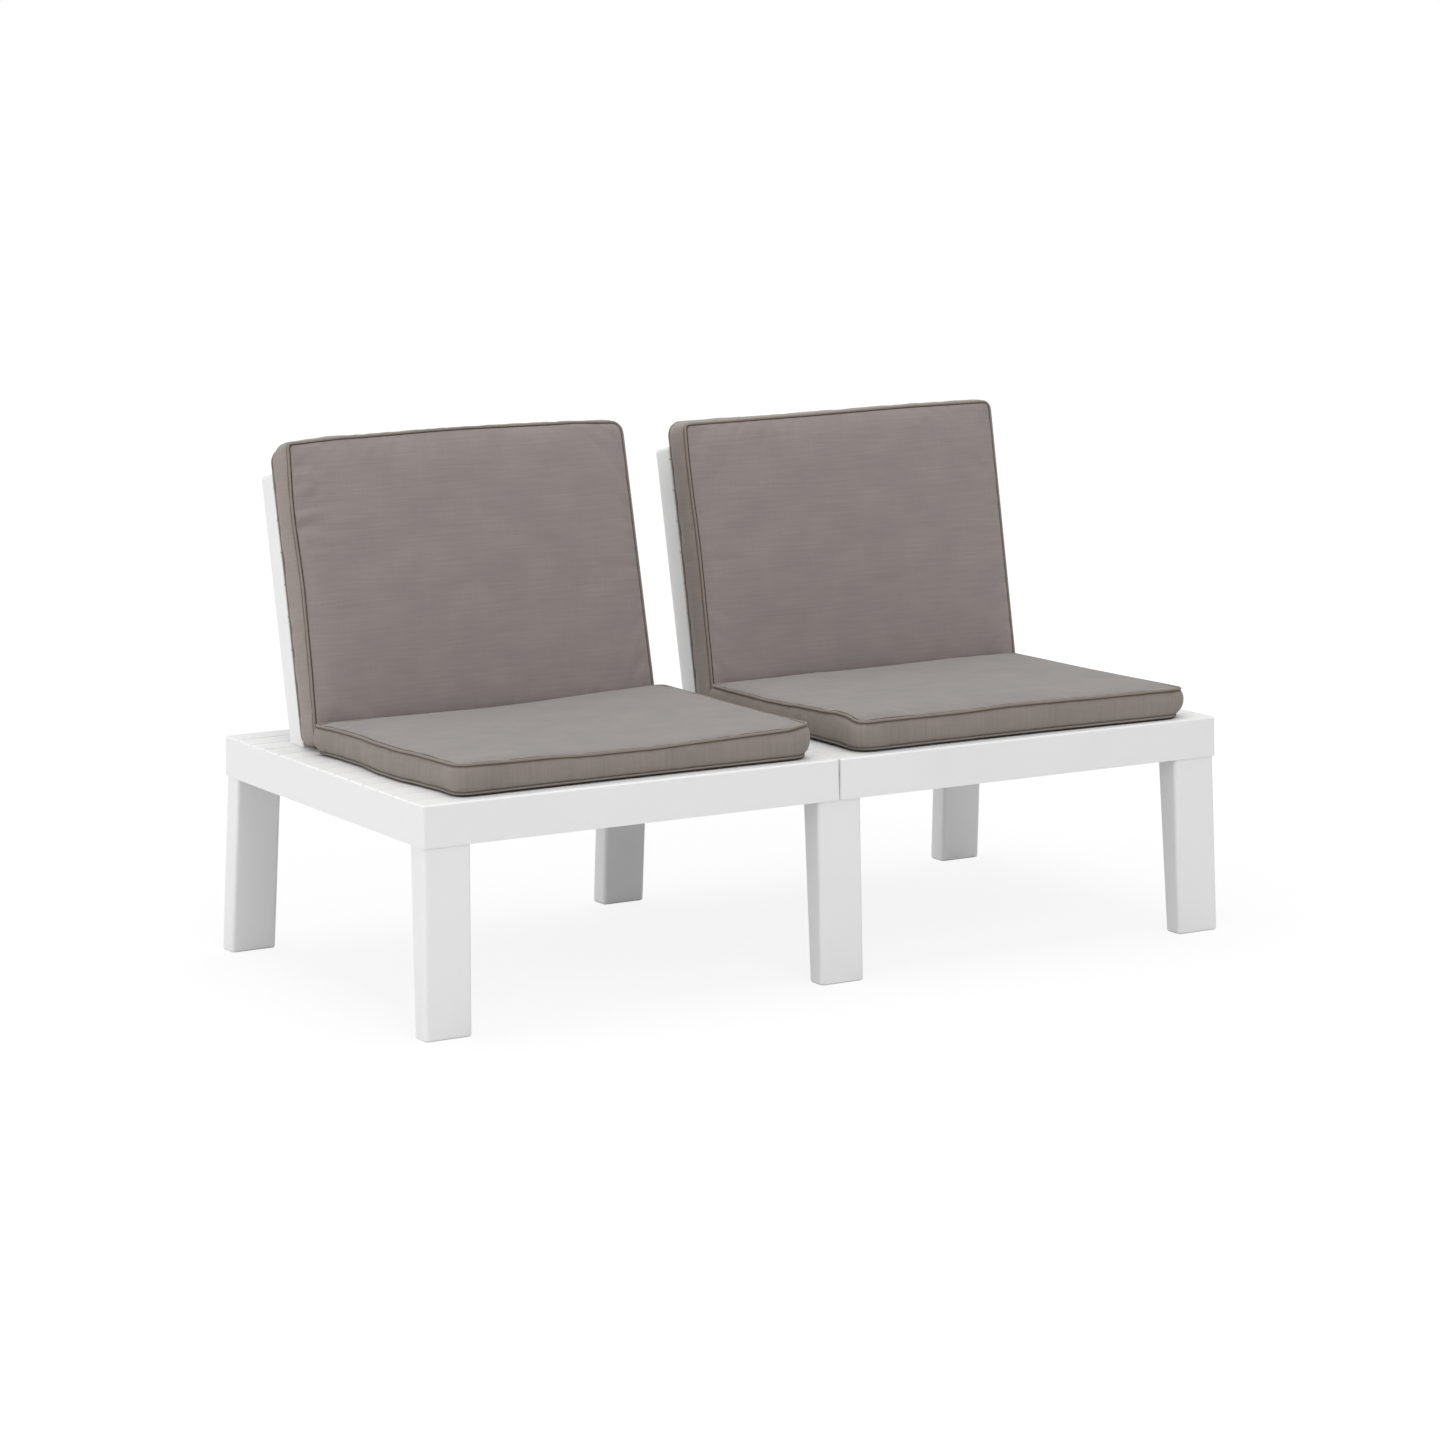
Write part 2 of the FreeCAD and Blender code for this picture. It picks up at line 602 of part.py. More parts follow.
def cushion(name, length, width, thickness, placement):
    """A sewn cover with its wadding, the foam slab in it and the two lines of piping round its edges."""
    wall = value_of("cover_wall")
    hollow = slab(length, width, wall, thickness)
    add_feature(name + "_cover", cushion_form(length, width, thickness).cut(hollow), placement)
    add_feature(name + "_foam", slab(length, width, wall + value_of("foam_gap"), thickness), placement)
    add_feature(name + "_piping_lower", piping(length, width, 0.0), placement)
    add_feature(name + "_piping_upper", piping(length, width, thickness), placement)


def seat_middle(hand):
    return "%s(module_width + module_gap) / 2" % ("-" if hand == "left" else "")


def seat_cushion(hand):
    """A seat cushion, lying on its deck and pushed back against the back cushion."""
    depth = value_of("seat_depth")
    rear = value_of("%s + %s - cushion_gap - piping_size / 2" % (FRONT_EDGE, CUSHION_FRONT))
    middle = FreeCAD.Vector(value_of("%s + %s_seat_shift" % (seat_middle(hand), hand)), rear - depth / 2,
                            value_of("deck_height + cushion_gap + piping_size / 2"))
    cushion("seat_cushion_" + hand, value_of("seat_length"), depth, value_of("seat_thickness"),
            FreeCAD.Placement(middle, FreeCAD.Rotation()))


def back_cushion(hand):
    """A back cushion, made flat with its rear face down and stood up against the backrest."""
    lean = value_of("lean")
    height = value_of("back_height")
    half = "piping_size / 2"
    rise = value_of("cushion_gap + %s * (cos(lean) + sin(lean)) + back_height / 2 * cos(lean)" % half)
    foot = value_of("%s + %s - (%s + cushion_gap) / cos(lean)" % (FRONT_EDGE, PANEL_FRONT, half))
    middle = FreeCAD.Vector(value_of(seat_middle(hand) + " + back_shift"),
                            foot + rise * math.tan(math.radians(lean)), value_of("deck_height") + rise)
    upright = FreeCAD.Rotation(FreeCAD.Vector(1, 0, 0), 90 - lean)
    cushion("back_cushion_" + hand, value_of("back_length"), height, value_of("back_thickness"),
            FreeCAD.Placement(middle, upright))


deck()
for row in ("front", "rear"):
    leg(row, "left")
    leg(row, "centre")
backrest()
for hand in ("left", "right"):
    seat_cushion(hand)
    back_cushion(hand)
doc.recompute()

for thing in doc.Objects:
    if "Invalid" in thing.State or "Error" in thing.State:
        raise RuntimeError("%s failed: %s" % (thing.Label, thing.State))
for part in parts:
    if part.Shape.isNull() or not part.Shape.isValid():
        raise RuntimeError("%s has no valid shape" % part.Label)

os.makedirs("parts", exist_ok=True)
for part in parts:
    part.Shape.exportStep("parts/%s.step" % part.Label)
    print("%-32s %9.1f cm3, %d solid" % (part.Label, part.Shape.Volume / 1000, len(part.Shape.Solids)))
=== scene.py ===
import bpy
import math
import numpy as np
from mathutils import Matrix, Vector, noise


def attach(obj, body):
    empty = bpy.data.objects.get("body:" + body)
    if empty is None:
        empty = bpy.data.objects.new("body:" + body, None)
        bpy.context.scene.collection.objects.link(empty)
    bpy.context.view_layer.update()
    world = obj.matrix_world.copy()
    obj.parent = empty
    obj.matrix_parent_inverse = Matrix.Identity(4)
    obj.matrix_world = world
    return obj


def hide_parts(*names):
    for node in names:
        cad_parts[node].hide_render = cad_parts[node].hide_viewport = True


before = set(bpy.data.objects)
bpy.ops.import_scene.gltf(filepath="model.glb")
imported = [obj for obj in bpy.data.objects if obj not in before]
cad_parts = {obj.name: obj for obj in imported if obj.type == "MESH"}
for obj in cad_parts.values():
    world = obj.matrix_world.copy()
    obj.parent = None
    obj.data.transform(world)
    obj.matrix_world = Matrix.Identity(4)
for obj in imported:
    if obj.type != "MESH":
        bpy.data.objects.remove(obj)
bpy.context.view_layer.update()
scene = bpy.context.scene

# The camera stands low in front of the bench and to its left, with a long lens and a hair of roll.
# Its place was found by laying the deck's edges and the feet over the photograph.
azimuth, elevation, roll = math.radians(-29.993), math.radians(9.625), math.radians(-0.539)
aim = Vector((-0.17633, -0.3042, 0.35763))
towards_camera = Vector((math.sin(azimuth) * math.cos(elevation),
                         -math.cos(azimuth) * math.cos(elevation), math.sin(elevation)))
level_right = Vector((math.cos(azimuth), math.sin(azimuth), 0))
level_up = towards_camera.cross(level_right)
right = level_right * math.cos(roll) + level_up * math.sin(roll)
up = level_up * math.cos(roll) - level_right * math.sin(roll)
sensor_width = 36
focal_length = 4217.12 / 1440  # in widths of the picture
distance = 5.2554
camera = bpy.data.objects.new("camera", bpy.data.cameras.new("camera"))
camera.data.sensor_width = sensor_width
camera.data.lens = focal_length * sensor_width
camera.data.clip_start, camera.data.clip_end = 0.1, 60
turn = Matrix((right, up, towards_camera)).transposed().to_4x4()
camera.matrix_world = Matrix.Translation(aim + towards_camera * distance) @ turn
scene.collection.objects.link(camera)
scene.camera = camera
scene.view_settings.view_transform = "Standard"

# The studio: a white paper floor that stays white in view but keeps the bench's soft shadow, a white
# surround, one big soft box above, one low at the left and one high in front.
floor_mesh = bpy.data.meshes.new("floor")
floor_mesh.from_pydata([(-9, -9, 0), (9, -9, 0), (9, 9, 0), (-9, 9, 0)], [], [(0, 1, 2, 3)])
floor = bpy.data.objects.new("floor", floor_mesh)
scene.collection.objects.link(floor)
paper = bpy.data.materials.new("floor_paper")
paper.use_nodes = True
nodes, links = paper.node_tree.nodes, paper.node_tree.links
nodes.clear()
output = nodes.new("ShaderNodeOutputMaterial")
lit = nodes.new("ShaderNodeBsdfDiffuse")
lit.inputs["Color"].default_value = (0.8, 0.8, 0.8, 1)
white = nodes.new("ShaderNodeEmission")
white.inputs["Color"].default_value = (1, 1, 1, 1)
white.inputs["Strength"].default_value = 1.03
rays = nodes.new("ShaderNodeLightPath")
spot = nodes.new("ShaderNodeTexCoord")
away = nodes.new("ShaderNodeVectorMath")
away.operation = "LENGTH"
fade = nodes.new("ShaderNodeMapRange")
fade.interpolation_type = "SMOOTHSTEP"
fade.inputs["From Min"].default_value = 0.7
fade.inputs["From Max"].default_value = 1.7
fade.inputs["To Min"].default_value = 0.82
fade.inputs["To Max"].default_value = 1.0
seen = nodes.new("ShaderNodeMath")
seen.operation = "MULTIPLY"
share = nodes.new("ShaderNodeMixShader")
links.new(spot.outputs["Object"], away.inputs[0])
links.new(away.outputs["Value"], fade.inputs["Value"])
links.new(rays.outputs["Is Camera Ray"], seen.inputs[0])
links.new(fade.outputs[0], seen.inputs[1])
links.new(seen.outputs[0], share.inputs["Fac"])
links.new(lit.outputs[0], share.inputs[1])
links.new(white.outputs[0], share.inputs[2])
links.new(share.outputs[0], output.inputs["Surface"])
floor_mesh.materials.append(paper)

world = bpy.data.worlds.new("studio")
scene.world = world
world.use_nodes = True
nodes, links = world.node_tree.nodes, world.node_tree.links
nodes.clear()
output = nodes.new("ShaderNodeOutputWorld")
surround = nodes.new("ShaderNodeBackground")
surround.inputs["Color"].default_value = (1, 1, 1, 1)
surround.inputs["Strength"].default_value = 0.67
backdrop = nodes.new("ShaderNodeBackground")
backdrop.inputs["Color"].default_value = (1, 1, 1, 1)
rays = nodes.new("ShaderNodeLightPath")
share = nodes.new("ShaderNodeMixShader")
links.new(rays.outputs["Is Camera Ray"], share.inputs["Fac"])
links.new(surround.outputs[0], share.inputs[1])
links.new(backdrop.outputs[0], share.inputs[2])
links.new(share.outputs[0], output.inputs["Surface"])

for name, place, size, power in (("soft_box_above", (0, 0.3, 3.6), 3.0, 50),
                                 ("soft_box_left", (-3.6, 0.2, 1.4), 2.0, 27),
                                 ("soft_box_front", (-0.6, -3.4, 3.6), 2.0, 38)):
    lamp = bpy.data.lights.new(name, "AREA")
    lamp.shape = "SQUARE"
    lamp.size = size
    lamp.energy = power
    holder = bpy.data.objects.new(name, lamp)
    way = Vector((0, 0, 0.3)) - Vector(place)
    holder.matrix_world = Matrix.Translation(place) @ way.to_track_quat("-Z", "Y").to_matrix().to_4x4()
    scene.collection.objects.link(holder)

# The mouldings: injection-moulded white resin with a fine satin grain from the mould's skin and the
# faint cloudiness of thick and thin walls behind it. Decks, legs and backrests come from one colour.
grain = bpy.data.node_groups.new("moulded_grain", "ShaderNodeTree")
for socket, kind in (("Place", "NodeSocketVector"), ("Grain", "NodeSocketFloat"),
                     ("Cloud", "NodeSocketFloat")):
    grain.interface.new_socket(socket, in_out="INPUT", socket_type=kind)
for socket in ("Tone", "Sheen", "Height"):
    grain.interface.new_socket(socket, in_out="OUTPUT", socket_type="NodeSocketFloat")
nodes, links = grain.nodes, grain.links
entry = nodes.new("NodeGroupInput")
leave = nodes.new("NodeGroupOutput")
pits = nodes.new("ShaderNodeTexNoise")
pits.inputs["Detail"].default_value = 3
pits.inputs["Roughness"].default_value = 0.7
clouds = nodes.new("ShaderNodeTexNoise")
clouds.inputs["Detail"].default_value = 2
tone = nodes.new("ShaderNodeMapRange")
tone.inputs["To Min"].default_value = 0.0
tone.inputs["To Max"].default_value = 1.0
sheen = nodes.new("ShaderNodeMapRange")
sheen.inputs["To Min"].default_value = 0.36
sheen.inputs["To Max"].default_value = 0.52
links.new(entry.outputs["Place"], pits.inputs["Vector"])
links.new(entry.outputs["Grain"], pits.inputs["Scale"])
links.new(entry.outputs["Place"], clouds.inputs["Vector"])
links.new(entry.outputs["Cloud"], clouds.inputs["Scale"])
links.new(clouds.outputs["Fac"], tone.inputs["Value"])
links.new(pits.outputs["Fac"], sheen.inputs["Value"])
links.new(tone.outputs[0], leave.inputs["Tone"])
links.new(sheen.outputs[0], leave.inputs["Sheen"])
links.new(pits.outputs["Fac"], leave.inputs["Height"])


def white_resin(name, grain_scale, cloud_scale, depth):
    """White polypropylene with a satin skin. Depth is the height of the grain in metres."""
    material = bpy.data.materials.new(name)
    material.use_nodes = True
    nodes, links = material.node_tree.nodes, material.node_tree.links
    shader = nodes["Principled BSDF"]
    shader.inputs["IOR"].default_value = 1.49
    place = nodes.new("ShaderNodeTexCoord")
    skin = nodes.new("ShaderNodeGroup")
    skin.node_tree = grain
    skin.inputs["Grain"].default_value = grain_scale
    skin.inputs["Cloud"].default_value = cloud_scale
    colour = nodes.new("ShaderNodeMix")
    colour.data_type = "RGBA"
    colour.inputs["A"].default_value = (0.795, 0.796, 0.795, 1)
    colour.inputs["B"].default_value = (0.835, 0.835, 0.832, 1)
    bump = nodes.new("ShaderNodeBump")
    bump.inputs["Strength"].default_value = 0.35
    bump.inputs["Distance"].default_value = depth
    links.new(place.outputs["Object"], skin.inputs["Place"])
    links.new(skin.outputs["Tone"], colour.inputs["Factor"])
    links.new(colour.outputs["Result"], shader.inputs["Base Color"])
    links.new(skin.outputs["Sheen"], shader.inputs["Roughness"])
    links.new(skin.outputs["Height"], bump.inputs["Height"])
    links.new(bump.outputs["Normal"], shader.inputs["Normal"])
    return material


def finish_node(node, material):
    """Gives a CAD solid, which shows as it is, its material."""
    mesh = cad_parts[node].data
    mesh.materials.clear()
    mesh.materials.append(material)


for hand in ("left", "right"):
    finish_node("deck_" + hand, white_resin("deck_resin_" + hand, 900, 5.5, 0.00025))

# The six legs: tapered hollow mouldings pushed up into the decks, from the same resin as the decks.
for row in ("front", "rear"):
    for column in ("left", "centre", "right"):
        leg = "%s_%s" % (row, column)
        finish_node("leg_" + leg, white_resin("leg_resin_" + leg, 900, 9, 0.00025))

# The two backrests: planked panels on two tongues each, moulded a little thinner than the decks.
for hand in ("left", "right"):
    finish_node("backrest_" + hand, white_resin("backrest_resin_" + hand, 1000, 7, 0.0002))

# The seat cushions: a cut foam slab in a sewn cover of taupe outdoor cloth. Upper and lower panels are
# joined by a side band, with a cord covered in the same cloth caught in each of the two seams.
weave = bpy.data.node_groups.new("plain_weave", "ShaderNodeTree")
for socket, kind in (("Place", "NodeSocketVector"), ("Threads", "NodeSocketFloat")):
    weave.interface.new_socket(socket, in_out="INPUT", socket_type=kind)
for socket in ("Slub", "Cloud", "Height"):
    weave.interface.new_socket(socket, in_out="OUTPUT", socket_type="NodeSocketFloat")
nodes, links = weave.nodes, weave.links
entry = nodes.new("NodeGroupInput")
leave = nodes.new("NodeGroupOutput")
yarns = []
for stretch, fineness, weight in (((0.04, 1, 1), 340, 0.68), ((1, 0.05, 1), 520, 0.32)):
    along = nodes.new("ShaderNodeVectorMath")
    along.operation = "MULTIPLY"
    along.inputs[1].default_value = stretch
    uneven = nodes.new("ShaderNodeTexNoise")
    uneven.inputs["Scale"].default_value = fineness
    uneven.inputs["Detail"].default_value = 3
    part = nodes.new("ShaderNodeMath")
    part.operation = "MULTIPLY"
    part.inputs[1].default_value = weight
    links.new(entry.outputs["Place"], along.inputs[0])
    links.new(along.outputs[0], uneven.inputs["Vector"])
    links.new(uneven.outputs["Fac"], part.inputs[0])
    yarns.append(part)
slub = nodes.new("ShaderNodeMath")
slub.operation = "ADD"
links.new(yarns[0].outputs[0], slub.inputs[0])
links.new(yarns[1].outputs[0], slub.inputs[1])
apart = nodes.new("ShaderNodeSeparateXYZ")
links.new(entry.outputs["Place"], apart.inputs[0])
waves = []
for axis in ("X", "Y"):
    count = nodes.new("ShaderNodeMath")
    count.operation = "MULTIPLY"
    wave = nodes.new("ShaderNodeMath")
    wave.operation = "SINE"
    links.new(apart.outputs[axis], count.inputs[0])
    links.new(entry.outputs["Threads"], count.inputs[1])
    links.new(count.outputs[0], wave.inputs[0])
    waves.append(wave)
crossing = nodes.new("ShaderNodeMath")
crossing.operation = "MULTIPLY"
links.new(waves[0].outputs[0], crossing.inputs[0])
links.new(waves[1].outputs[0], crossing.inputs[1])
height = nodes.new("ShaderNodeMath")
height.operation = "MULTIPLY_ADD"
height.inputs[1].default_value = 0.35
links.new(crossing.outputs[0], height.inputs[0])
links.new(slub.outputs[0], height.inputs[2])
cloud = nodes.new("ShaderNodeTexNoise")
cloud.inputs["Scale"].default_value = 16
cloud.inputs["Detail"].default_value = 3
links.new(entry.outputs["Place"], cloud.inputs["Vector"])
links.new(slub.outputs[0], leave.inputs["Slub"])
links.new(cloud.outputs["Fac"], leave.inputs["Cloud"])
links.new(height.outputs[0], leave.inputs["Height"])


def outdoor_cloth(name, dark, light, band_hue_and_painted_light, seam_shade_width, band_shade_reach):
    """Solution-dyed polyester: two tones of yarn, a soft sheen at grazing angles, shade painted in its
    seams.

    The painted shade in a seam reaches seam_shade_width out of it, on the band band_shade_reach further.
    """
    material = bpy.data.materials.new(name)
    material.use_nodes = True
    nodes, links = material.node_tree.nodes, material.node_tree.links
    shader = nodes["Principled BSDF"]
    shader.inputs["Roughness"].default_value = 0.9
    shader.inputs["Specular IOR Level"].default_value = 0.2
    shader.inputs["Sheen Weight"].default_value = 0.16
    shader.inputs["Sheen Roughness"].default_value = 0.5
    place = nodes.new("ShaderNodeUVMap")
    place.uv_map = "cloth"
    cloth = nodes.new("ShaderNodeGroup")
    cloth.node_tree = weave
    cloth.inputs["Threads"].default_value = 6600
    links.new(place.outputs["UV"], cloth.inputs["Place"])
    yarn = nodes.new("ShaderNodeMapRange")
    yarn.inputs["From Min"].default_value = 0.33
    yarn.inputs["From Max"].default_value = 0.67
    tones = nodes.new("ShaderNodeMix")
    tones.data_type = "RGBA"
    tones.inputs["A"].default_value = (*dark, 1)
    tones.inputs["B"].default_value = (*light, 1)
    links.new(cloth.outputs["Slub"], yarn.inputs["Value"])
    links.new(yarn.outputs[0], tones.inputs["Factor"])
    washed = nodes.new("ShaderNodeMix")
    washed.data_type = "RGBA"
    washed.blend_type = "MULTIPLY"
    washed.inputs["Factor"].default_value = 1
    wash = nodes.new("ShaderNodeValToRGB")
    wash.color_ramp.elements[0].position = 0.35
    wash.color_ramp.elements[0].color = (0.955, 0.96, 0.965, 1)
    wash.color_ramp.elements[1].position = 0.65
    wash.color_ramp.elements[1].color = (1.03, 1.025, 1.02, 1)
    links.new(cloth.outputs["Cloud"], wash.inputs["Fac"])
    links.new(tones.outputs["Result"], washed.inputs["A"])
    links.new(wash.outputs["Color"], washed.inputs["B"])
    # Shade painted beside each seam: the seam layer gives the way to the seam and how strong the painted
    # shade is there.
    seam = nodes.new("ShaderNodeUVMap")
    seam.uv_map = "seam"
    gap = nodes.new("ShaderNodeSeparateXYZ")
    line = nodes.new("ShaderNodeMapRange")
    line.interpolation_type = "SMOOTHSTEP"
    line.inputs["From Min"].default_value = seam_shade_width * 0.6
    line.inputs["From Max"].default_value = seam_shade_width
    line.inputs["To Min"].default_value = 1
    line.inputs["To Max"].default_value = 0
    depth = nodes.new("ShaderNodeMath")
    depth.operation = "MULTIPLY"
    # The near-black colour of the painted seam shade.
    shaded = nodes.new("ShaderNodeMix")
    shaded.data_type = "RGBA"
    shaded.inputs["B"].default_value = (0.060, 0.048, 0.038, 1)
    links.new(seam.outputs["UV"], gap.inputs[0])
    reach = nodes.new("ShaderNodeMath")
    reach.operation = "MULTIPLY_ADD"
    reach.inputs[1].default_value = -band_shade_reach
    links.new(gap.outputs["X"], reach.inputs[2])
    links.new(reach.outputs[0], line.inputs["Value"])
    links.new(line.outputs[0], depth.inputs[0])
    links.new(gap.outputs["Y"], depth.inputs[1])
    where = nodes.new("ShaderNodeSeparateXYZ")
    on_band = nodes.new("ShaderNodeMath")
    on_band.operation = "GREATER_THAN"
    on_band.inputs[1].default_value = band_patch - 0.5
    # The band's tint: a warmer hue, and painted light that sets the sideways-facing band apart in
    # brightness from the panels.
    cut = nodes.new("ShaderNodeMix")
    cut.data_type = "RGBA"
    cut.blend_type = "MULTIPLY"
    cut.inputs["B"].default_value = (*band_hue_and_painted_light, 1)
    links.new(place.outputs["UV"], where.inputs[0])
    links.new(where.outputs["X"], on_band.inputs[0])
    links.new(on_band.outputs[0], cut.inputs["Factor"])
    links.new(on_band.outputs[0], reach.inputs[0])
    links.new(washed.outputs["Result"], cut.inputs["A"])
    links.new(depth.outputs[0], shaded.inputs["Factor"])
    links.new(cut.outputs["Result"], shaded.inputs["A"])
    links.new(shaded.outputs["Result"], shader.inputs["Base Color"])
    bump = nodes.new("ShaderNodeBump")
    bump.inputs["Strength"].default_value = 0.35
    bump.inputs["Distance"].default_value = 0.0003
    links.new(cloth.outputs["Height"], bump.inputs["Height"])
    links.new(bump.outputs["Normal"], shader.inputs["Normal"])
    return material


cell = 0.006  # side of the squares in a cover's mesh
seam_depth = 0.0013  # how far in from the middle of its cord a seam is sewn
cord_radius = 0.0016
cord_points = 10  # points round a cord
lower_patch, band_patch = 2, 4  # where lower panel and band start along the cloth's UV, in metres


def seam_line(corners, wander, counts):
    """Points round a cushion's seam, from the middle of one corner's bend to the next, and the ways out.

    Corners are (x, y, z, radius). A side's wander lists (share of the side, out, up) between its corners.
    """
    spots = [Vector(corner[:2]) for corner in corners]
    runs = [(spots[(i + 1) % 4] - spots[i]).normalized() for i in range(4)]
    turns = [abs(runs[i - 1].angle_signed(runs[i])) for i in range(4)]
    reach = [corners[i][3] * math.tan(turns[i] / 2) for i in range(4)]
    points, ways = [], []
    for side in range(4):
        first, last = side, (side + 1) % 4
        run = runs[side]
        out = Vector((run.y, -run.x))
        start = spots[first] + run * reach[first]
        straight = (spots[last] - run * reach[last] - start).length
        bends = [corners[i][3] * turns[i] / 2 for i in (first, last)]
        total = bends[0] + straight + bends[1]
        shares = [0] + [step[0] for step in wander[side]] + [1]
        outs = [0] + [step[1] for step in wander[side]] + [0]
        ups = [0] + [step[2] for step in wander[side]] + [0]
        for i in range(counts[side % 2]):
            distance = total * i / counts[side % 2]
            angle, centre, radius = 0, None, 0
            if distance < bends[0]:
                radius = corners[first][3]
                angle = -(bends[0] - distance) / radius
                centre = start - out * radius
            elif distance > bends[0] + straight:
                radius = corners[last][3]
                angle = (distance - bends[0] - straight) / radius
                centre = start + run * straight - out * radius
            way = out * math.cos(angle) + run * math.sin(angle)
            spot = centre + way * radius if centre else start + run * (distance - bends[0])
            share = distance / total
            k = max(j for j in range(len(shares) - 1) if shares[j] <= share)
            ease = (share - shares[k]) / (shares[k + 1] - shares[k])
            ease = ease * ease * (3 - 2 * ease)
            spot = spot + way * (outs[k] + (outs[k + 1] - outs[k]) * ease)
            level = corners[first][2] + (corners[last][2] - corners[first][2]) * share
            points.append((spot.x, spot.y, level + ups[k] + (ups[k + 1] - ups[k]) * ease))
            ways.append((way.x, way.y, 0))
    return np.array(points), np.array(ways)


def band_row(seams, share):
    """The band stands straight over most of its height and tucks in to the lower seam."""
    row = seams[0] + (seams[1] - seams[0]) * share
    row[:, :2] += (seams[1] - seams[0])[:, :2] * (1 - (1 - share) ** 3 - share)
    return row


def sew_cover(low_seam, high_seam, thickness, low_line):
    """The cover as one closed mesh: a lower panel, a band and an upper panel that share the seams.

    The cloth layer holds places on the flat cloth, the seam layer the way to a seam and how strong the
    shade painted beside it is. On the band's lower half that strength is low_line.
    """
    high_seam_shade = 0.6
    span = np.array([corner[:2] for corner in low_seam[0]])
    nx = round((span[1, 0] - span[0, 0]) / cell)
    ny = round((span[2, 1] - span[1, 1]) / cell)
    nz = max(6, round(thickness / cell))
    around = 2 * (nx + ny)
    lines, ways = [], None
    for corners, wander in (low_seam, high_seam):
        line, ways = seam_line(corners, wander, (nx, ny))
        lines.append(line - ways * seam_depth)
    lines[1][:, 2] += thickness
    border = ([(i, 0) for i in range(nx)] + [(nx, j) for j in range(ny)]
              + [(nx - i, ny) for i in range(nx)] + [(0, ny - j) for j in range(ny)])
    at = {ij: k for k, ij in enumerate(border)}
    u = (np.arange(nx + 1) / nx)[:, None, None]
    v = (np.arange(ny + 1) / ny)[None, :, None]
    grids = []
    for line in lines:
        south = line[[at[(i, 0)] for i in range(nx + 1)]]
        north = line[[at[(i, ny)] for i in range(nx + 1)]]
        west = line[[at[(0, j)] for j in range(ny + 1)]]
        east = line[[at[(nx, j)] for j in range(ny + 1)]]
        grids.append((1 - v) * south[:, None] + v * north[:, None] + (1 - u) * west[None] + u * east[None]
                     - (1 - u) * (1 - v) * south[0] - u * (1 - v) * south[-1]
                     - (1 - u) * v * north[0] - u * v * north[-1])
    verts = [tuple(p) for line in lines for p in line]
    for row in range(1, nz):
        verts += [tuple(p) for p in band_row(lines, row / nz)]
    index = {}
    for level, grid in enumerate(grids):
        for k, ij in enumerate(border):
            index[(level, ij)] = level * around + k
        for i in range(1, nx):
            for j in range(1, ny):
                index[(level, (i, j))] = len(verts)
                verts.append(tuple(grid[i, j]))
    faces, cloth, seam = [], [], []
    for i in range(nx):
        for j in range(ny):
            square = [(i, j), (i + 1, j), (i + 1, j + 1), (i, j + 1)]
            # Painted seam shade: 0.9 on the upper panel; full strength over a wider strip on the lower
            # panel, which paints the dark contact shadow where the cushion sits.
            for level, tour, patch, nearness, line in ((1, square, 0, 1, 0.9),
                                                       (0, square[::-1], lower_patch, 0.35, 1)):
                faces.append([index[(level, p)] for p in tour])
                cloth += [(grids[level][p][0] + patch, grids[level][p][1]) for p in tour]
                seam += [(cell * min(p[0], nx - p[0], p[1], ny - p[1]) * nearness, line) for p in tour]
    step = np.linalg.norm(np.roll(lines[0], -1, axis=0) - lines[0], axis=1)
    reach = np.concatenate(([0], np.cumsum(step)))
    rings = [0] + [2 + row for row in range(nz - 1)] + [1]
    for k in range(around):
        for row in range(nz):
            tour = [(row, k), (row, k + 1), (row + 1, k + 1), (row + 1, k)]
            faces.append([rings[r] * around + c % around for r, c in tour])
            cloth += [(band_patch + thickness * r / nz, reach[c]) for r, c in tour]
            # The band's painted seam shade: one strength on its upper half, another on its lower half.
            line = high_seam_shade if row * 2 > nz else low_line
            seam += [(thickness * min(r, nz - r) / nz, line) for r, c in tour]
    return np.array(verts), faces, cloth, seam, ways, nz, (nx, ny)


